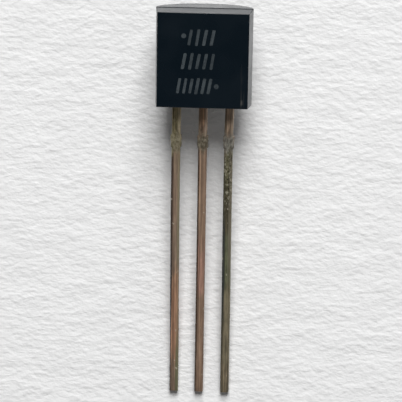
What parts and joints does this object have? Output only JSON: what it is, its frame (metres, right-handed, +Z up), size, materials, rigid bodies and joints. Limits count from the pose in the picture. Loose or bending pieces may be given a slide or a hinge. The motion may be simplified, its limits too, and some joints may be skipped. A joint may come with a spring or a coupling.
{
  "type": "to-92 transistor",
  "caption": "Small leaded transistor: black moulded body with a flat front and a round back, on straight flat tarnished leads in a row.",
  "frame": {"origin": "middle of the outline of the whole part as it lies, on the surface it lies on", "axes": "+Z up from that surface with the flat face up, +Y from the lead tips to the head, +X across the leads from drain to source"},
  "size_m": [0.0046, 0.0192, 0.0042],
  "materials": {
    "moulding_compound": "satin",
    "drain_lead_metal": "satin",
    "gate_lead_metal": "satin",
    "source_lead_metal": "satin",
    "silicon": "polished",
    "silver_adhesive": "satin",
    "gold_wire": "polished"
  },
  "bodies": {
    "root": {"body": "moulding_compound", "drain_lead": "drain_lead_metal", "gate_lead": "gate_lead_metal", "source_lead": "source_lead_metal", "die": "silicon", "die_attach": "silver_adhesive", "gate_wire": "gold_wire", "source_wire": "gold_wire"}
  },
  "joints": []
}
